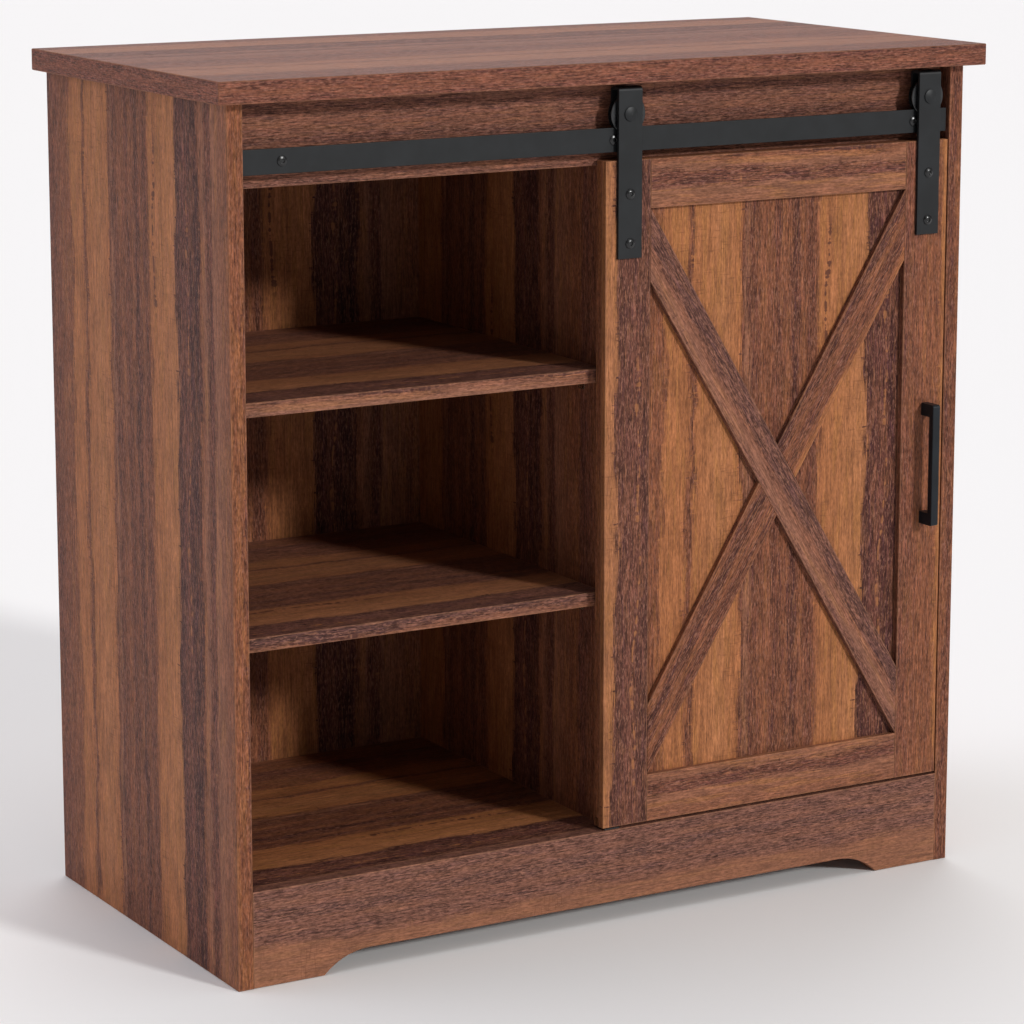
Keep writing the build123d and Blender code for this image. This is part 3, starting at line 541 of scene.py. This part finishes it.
def solid_boxes(name):
    """The lowest and highest corner of each separate solid in a CAD node."""
    shell = bmesh.new()
    shell.from_mesh(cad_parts[name].data)
    bmesh.ops.remove_doubles(shell, verts=shell.verts, dist=1e-6)
    boxes = []
    unseen = set(shell.verts)
    while unseen:
        stack = [unseen.pop()]
        island = []
        while stack:
            corner = stack.pop()
            island.append(corner.co.copy())
            for edge in corner.link_edges:
                other = edge.other_vert(corner)
                if other in unseen:
                    unseen.remove(other)
                    stack.append(other)
        low = Vector(min(co[axis] for co in island) for axis in range(3))
        high = Vector(max(co[axis] for co in island) for axis in range(3))
        boxes.append((low, high))
    shell.free()
    return sorted(boxes, key=lambda box: tuple(round(value, 4) for value in box[0]))


def marks_on(boxes, face):
    """A mark at the middle of each solid, on the face that its head sits on."""
    marks = []
    for low, high in boxes:
        marks.append(Vector(((low.x + high.x) / 2, face, (low.z + high.z) / 2)))
    return marks


def lathe_and_socket(name, rings, sides):
    """A mesh of rings of (radius, forward place, corner count that the ring follows).

    A ring that follows six corners is a hexagon, as in a hex socket, and a ring that
    follows none is round. Forward is towards the front, along -Y.
    """
    shape = bmesh.new()
    loops = []
    for radius, forward, corners in rings:
        loop = []
        for step in range(sides):
            angle = 2 * math.pi * step / sides
            reach = radius
            if corners:
                sector = 2 * math.pi / corners
                reach = radius * math.cos(sector / 2) / math.cos(angle % sector - sector / 2)
            corner = (reach * math.cos(angle), -forward, reach * math.sin(angle))
            loop.append(shape.verts.new(corner))
        loops.append(loop)
    for near, far in zip(loops, loops[1:]):
        for step in range(sides):
            after = (step + 1) % sides
            shape.faces.new((near[step], near[after], far[after], far[step]))
    for loop in (loops[0], loops[-1]):
        shape.faces.new(loop)
    bmesh.ops.recalc_face_normals(shape, faces=shape.faces)
    mesh = bpy.data.meshes.new(name)
    shape.to_mesh(mesh)
    shape.free()
    for face in mesh.polygons:
        face.use_smooth = len(face.vertices) == 4
    return bpy.data.objects.new(name, mesh)


BUTTON_RIM = 0.0007
SOCKET_CHAMFER = 0.00012


def button_head(name, head_radius, head_height, shank_radius, shank_length):
    """A button-head screw with a hex socket, its head's underside at the origin."""
    socket = head_radius * 0.46
    floor = head_height * 0.35
    dome = []
    for share in (0.52, 0.66, 0.8, 0.9, 0.96, 1.0):
        rise = (head_height - BUTTON_RIM) * (1 - share**2)
        dome.append((head_radius * share, BUTTON_RIM + rise, 0))
    top = head_height - (head_height - BUTTON_RIM) * 0.24
    rings = [(socket, floor, 6), (socket, top - SOCKET_CHAMFER, 6), (socket * 1.04, top, 6)]
    rings += dome
    rings += [
        (head_radius, BUTTON_RIM * 0.25, 0),
        (head_radius * 0.97, 0, 0),
        (shank_radius, 0, 0),
        (shank_radius, -shank_length, 0),
    ]
    return lathe_and_socket(name, rings, 48)


MOST_TURN = 3.1
TURN_SEED = 7
SHAPE_OF_OBJECT = 4


def fixing_tree(name):
    """Sets one fastener on every mark, each turned by its own chance about its axis."""
    tree = bpy.data.node_groups.new(name, "GeometryNodeTree")
    tree.interface.new_socket("Marks", in_out="INPUT", socket_type="NodeSocketGeometry")
    tree.interface.new_socket("Fastener", in_out="INPUT", socket_type="NodeSocketObject")
    tree.interface.new_socket("Finish", in_out="INPUT", socket_type="NodeSocketMaterial")
    turn = tree.interface.new_socket("Turn", in_out="INPUT", socket_type="NodeSocketFloat")
    turn.default_value = MOST_TURN
    seed = tree.interface.new_socket("Seed", in_out="INPUT", socket_type="NodeSocketInt")
    seed.default_value = TURN_SEED
    tree.interface.new_socket("Fasteners", in_out="OUTPUT", socket_type="NodeSocketGeometry")
    inlet = tree.nodes.new("NodeGroupInput")
    outlet = tree.nodes.new("NodeGroupOutput")
    model = put(
        tree, "GeometryNodeObjectInfo", inlet.outputs["Fastener"], out=SHAPE_OF_OBJECT
    )
    chance = tree.nodes.new("FunctionNodeRandomValue")
    chance.data_type = "FLOAT"
    tree.links.new(inlet.outputs["Turn"], chance.inputs[3])
    tree.links.new(inlet.outputs["Seed"], chance.inputs["Seed"])
    rotation = put(tree, "ShaderNodeCombineXYZ", 0.0, chance.outputs[1], 0.0)
    place = tree.nodes.new("GeometryNodeInstanceOnPoints")
    tree.links.new(inlet.outputs["Marks"], place.inputs["Points"])
    tree.links.new(model, place.inputs["Instance"])
    tree.links.new(rotation, place.inputs["Rotation"])
    real = put(tree, "GeometryNodeRealizeInstances", place.outputs[0])
    painted = tree.nodes.new("GeometryNodeSetMaterial")
    tree.links.new(real, painted.inputs["Geometry"])
    tree.links.new(inlet.outputs["Finish"], painted.inputs["Material"])
    tree.links.new(painted.outputs[0], outlet.inputs[0])
    return tree


fixings = fixing_tree("Set fasteners on marks")


def bake_nodes(obj, tree, name, values):
    """Runs a node tree on an object and returns the result as a plain mesh object."""
    modifier = obj.modifiers.new("Nodes", "NODES")
    modifier.node_group = tree
    for socket in tree.interface.items_tree:
        if socket.in_out == "INPUT" and socket.name in values:
            modifier[socket.identifier] = values[socket.name]
    bpy.context.view_layer.update()
    graph = bpy.context.evaluated_depsgraph_get()
    mesh = bpy.data.meshes.new_from_object(obj.evaluated_get(graph), depsgraph=graph)
    mesh.name = name
    bpy.data.objects.remove(obj)
    made = bpy.data.objects.new(name, mesh)
    bpy.context.scene.collection.objects.link(made)
    return made


def set_fasteners(name, marks, fastener, finish, body, node):
    """Sets a fastener on each mark and puts the group in the place of its CAD node."""
    mesh = bpy.data.meshes.new(name + " marks")
    mesh.from_pydata([tuple(mark) for mark in marks], [], [])
    base = bpy.data.objects.new(name + " marks", mesh)
    for obj in (base, fastener):
        bpy.context.scene.collection.objects.link(obj)
    values = {
        "Fastener": fastener,
        "Finish": finish,
        "Turn": MOST_TURN,
        "Seed": TURN_SEED,
    }
    made = bake_nodes(base, fixings, name, values)
    bpy.data.objects.remove(fastener)
    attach(made, body)
    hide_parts(node)


RAIL_BOLT_SHANK = 0.003
rail_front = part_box("rail_bar")[0].y
bolt_boxes = solid_boxes("rail_bolts")
bolt_low, bolt_high = bolt_boxes[0]
bolt_head = button_head(
    "rail bolt",
    (bolt_high.x - bolt_low.x) / 2,
    rail_front - bolt_low.y,
    RAIL_BOLT_SHANK,
    bolt_high.y - rail_front,
)
screw_coat = powder_coat("Black screw finish", paint(9, 9, 10), 0.28, 0.5)
set_fasteners(
    "rail_button_bolts",
    marks_on(bolt_boxes, rail_front),
    bolt_head,
    screw_coat,
    "cabinet",
    "rail_bolts",
)

# ---------------------------------------------------------------- back nails
# Small plated nails with flat round heads, driven through the back panel into the
# edges of the boards that it lies on.

NAIL_SHANK = 0.00075
nail_boxes = solid_boxes("back_nails")
nail_low, nail_high = nail_boxes[0]
back_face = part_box("back_panel")[1].y
nail_head = (nail_high.x - nail_low.x) / 2
nail_rings = [
    (nail_head * 0.3, back_face - nail_high.y, 0),
    (nail_head * 0.85, back_face - nail_high.y, 0),
    (nail_head, (back_face - nail_high.y) * 0.6, 0),
    (nail_head * 0.96, 0, 0),
    (NAIL_SHANK, 0, 0),
    (NAIL_SHANK, back_face - nail_low.y, 0),
]
nail = lathe_and_socket("back nail", nail_rings, 20)
nail_marks = marks_on(nail_boxes, back_face)
set_fasteners("panel_nails", nail_marks, nail, zinc, "cabinet", "back_nails")

# ---------------------------------------------------------------- shelf pins
# Spade pins of nickel-plated steel, each a peg pushed into the board and a flat tongue
# for the shelf to lie on.

nickel = plated_metal("Nickel plate", paint(206, 200, 186), paint(170, 165, 152), 0.26)
dress("shelf_pins", nickel)

# ---------------------------------------------------------------- door
# A backing panel with upright grain carries a raised frame of stiles and rails, and two
# braces that cross in the opening. One brace runs through and the other is in halves.

dress_board("door_panel", UP, RIGHT, (-15, 187))
# The left stile and the bottom rail get a painted sheen: their print is mixed toward one flat
# colour.
dress_board("left_stile", UP, RIGHT, (266, 250), 0.2, paint(122, 80, 62))
dress_board("right_stile", UP, RIGHT, (8, 980))
dress_board("door_top_rail", RIGHT, DOWN, (322, 90))
dress_board("door_bottom_rail", RIGHT, DOWN, (330, 700), 0.1)

opening_low = Vector((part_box("left_stile")[1].x, 0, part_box("door_bottom_rail")[1].z))
opening_high = Vector((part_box("right_stile")[0].x, 0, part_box("door_top_rail")[0].z))
BRACE_WIDTH = 0.035
opening = opening_high - opening_low
reach = math.hypot(opening.x, opening.z)
brace_angle = math.acos(BRACE_WIDTH / reach) - math.atan2(opening.x, opening.z)
brace_run = Vector((math.cos(brace_angle), 0, -math.sin(brace_angle)))
brace_climb = Vector((math.cos(brace_angle), 0, math.sin(brace_angle)))
across_run = (-math.sin(brace_angle), 0, -math.cos(brace_angle))
across_climb = (math.sin(brace_angle), 0, -math.cos(brace_angle))
# The long brace gets a painted mauve sheen, mixed into its print.
dress_board("long_brace", brace_run, across_run, (305, 720), 0.3, paint(130, 92, 80))
for half, start in (("upper_half_brace", (194, 130)), ("lower_half_brace", (186, 530))):
    dress_board(half, brace_climb, across_climb, start)

# ---------------------------------------------------------------- hangers
# Two steel straps bend over the rail. Each holds a grooved wheel on a riveted axle
# between washers, and is screwed to a stile with two button-head screws.

for steel in (
    "left_hanger_strap",
    "right_hanger_strap",
    "left_wheel_axle",
    "right_wheel_axle",
    "axle_washers",
):
    dress(steel, black_coat)
wheel_coat = powder_coat("Black wheel coat", paint(16, 17, 19), 0.28, 0.6)
for wheel in ("left_hanger_wheel", "right_hanger_wheel"):
    dress(wheel, wheel_coat)

HANGER_SCREW_SHANK = 0.002
strap_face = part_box("left_hanger_strap")[0].y
screw_boxes = solid_boxes("hanger_screws")
screw_low, screw_high = screw_boxes[0]
screw = button_head(
    "hanger screw",
    (screw_high.x - screw_low.x) / 2,
    strap_face - screw_low.y,
    HANGER_SCREW_SHANK,
    screw_high.y - strap_face,
)
set_fasteners(
    "hanger_button_screws",
    marks_on(screw_boxes, strap_face),
    screw,
    screw_coat,
    "door",
    "hanger_screws",
)

# ---------------------------------------------------------------- handle
# A square steel bow, powder coated like the rail and polished a little by hands. Two
# screws from behind the door hold it.

dress("door_handle", powder_coat("Black handle coat", paint(12, 17, 22), 0.42, 0.25))

# ---------------------------------------------------------------- bottom guide
# A moulded black nylon tab, screwed to the top of the kick board. Its fin runs in a
# groove in the door's lower edge and keeps the door's foot in line.


def moulded_nylon():
    """Black nylon with a faint spark-eroded grain."""
    finish = bpy.data.materials.new("Moulded nylon")
    finish.use_nodes = True
    tree = finish.node_tree
    surface = tree.nodes["Principled BSDF"]
    place = put(tree, "ShaderNodeTexCoord", out=OWN_PLACE)
    grain = put(tree, "ShaderNodeTexNoise", place, None, 1800.0, 2.0, 0.5)
    colour = mix_colour(tree, grain, paint(20, 20, 21), paint(40, 40, 42))
    tree.links.new(colour, surface.inputs["Base Color"])
    tree.links.new(sum_up(tree, "MULTIPLY_ADD", grain, 0.2, 0.42), surface.inputs["Roughness"])
    raise_up(tree, surface, grain, 0.2, 0.00005)
    return finish


dress("bottom_guide", moulded_nylon())
dress("guide_screws", black_coat)

# ---------------------------------------------------------------- studio
# A plain pale floor and four soft lights: a key from the right of the front, one from
# behind, one overhead and a rim light from the left. The surroundings fill the shadows
# faintly and look near white. The camera stands at the left of the front.

FLOOR_HALF = 40.0
FLOOR_DROP = 0.0004
FLOOR_COLOUR = (0.86, 0.86, 0.86, 1)
FILL_COLOUR = (1.0, 0.99, 0.98, 1)
FILL_STRENGTH = 0.25
BACKDROP_COLOUR = (0.95, 0.94, 0.93, 1)
floor_corners = []
for x, y in ((-1, -1), (1, -1), (1, 1), (-1, 1)):
    floor_corners.append((x * FLOOR_HALF, y * FLOOR_HALF, -FLOOR_DROP))
floor_mesh = bpy.data.meshes.new("floor")
floor_mesh.from_pydata(floor_corners, [], [(0, 1, 2, 3)])
floor = bpy.data.objects.new("floor", floor_mesh)
bpy.context.scene.collection.objects.link(floor)
floor_paint = bpy.data.materials.new("Pale floor")
floor_paint.use_nodes = True
floor_surface = floor_paint.node_tree.nodes["Principled BSDF"]
floor_surface.inputs["Base Color"].default_value = FLOOR_COLOUR
floor_surface.inputs["Roughness"].default_value = 0.9
floor_mesh.materials.append(floor_paint)

world = bpy.data.worlds.new("Studio")
world.use_nodes = True
surroundings = world.node_tree
fill = surroundings.nodes["Background"]
fill.inputs["Color"].default_value = FILL_COLOUR
fill.inputs["Strength"].default_value = FILL_STRENGTH
backdrop = put(surroundings, "ShaderNodeBackground", BACKDROP_COLOUR, 1.0)
seen = put(surroundings, "ShaderNodeLightPath")
shown = put(surroundings, "ShaderNodeMixShader", seen, fill.outputs[0], backdrop)
surroundings.links.new(shown, surroundings.nodes["World Output"].inputs["Surface"])
bpy.context.scene.world = world

# Each light's name, the side it shines from, its strength, spread in degrees and colour.
STUDIO_LIGHTS = (
    ("key", (0.4, -1.0, 0.44), 2.12, 7, (0.97, 0.97, 0.96)),
    ("back", (0.5, 1.0, 0.9), 0.9, 50, (1.0, 0.96, 0.97)),
    ("overhead", (0.0, 0.0, 1.0), 1.0, 60, (1.0, 0.98, 0.98)),
    ("left rim", (-1.0, 0.6, 0.4), 0.86, 50, (1.0, 0.94, 1.10)),
)
for name, source, strength, spread, colour in STUDIO_LIGHTS:
    lamp = bpy.data.lights.new(name, "SUN")
    lamp.energy = strength
    lamp.angle = math.radians(spread)
    lamp.color = colour
    light = bpy.data.objects.new(name, lamp)
    light.rotation_euler = Vector(source).to_track_quat("Z", "Y").to_euler()
    bpy.context.scene.collection.objects.link(light)

CAMERA_PLACE = Vector((-1.682, -2.882, 1.067))
CAMERA_AIM = Vector((-0.002, 0.0, 0.455))
lens = bpy.data.cameras.new("camera")
lens.sensor_width = 36
lens.lens = 125.4
lens.shift_y = -0.10
lens.clip_end = 200
camera = bpy.data.objects.new("camera", lens)
camera.location = CAMERA_PLACE
camera.rotation_euler = (CAMERA_PLACE - CAMERA_AIM).to_track_quat("Z", "Y").to_euler()
bpy.context.scene.collection.objects.link(camera)
bpy.context.scene.camera = camera
bpy.context.scene.view_settings.view_transform = "Standard"


def corners(bounds):
    """A box's corners as plain lists."""
    return [[float(value) for value in corner] for corner in bounds]
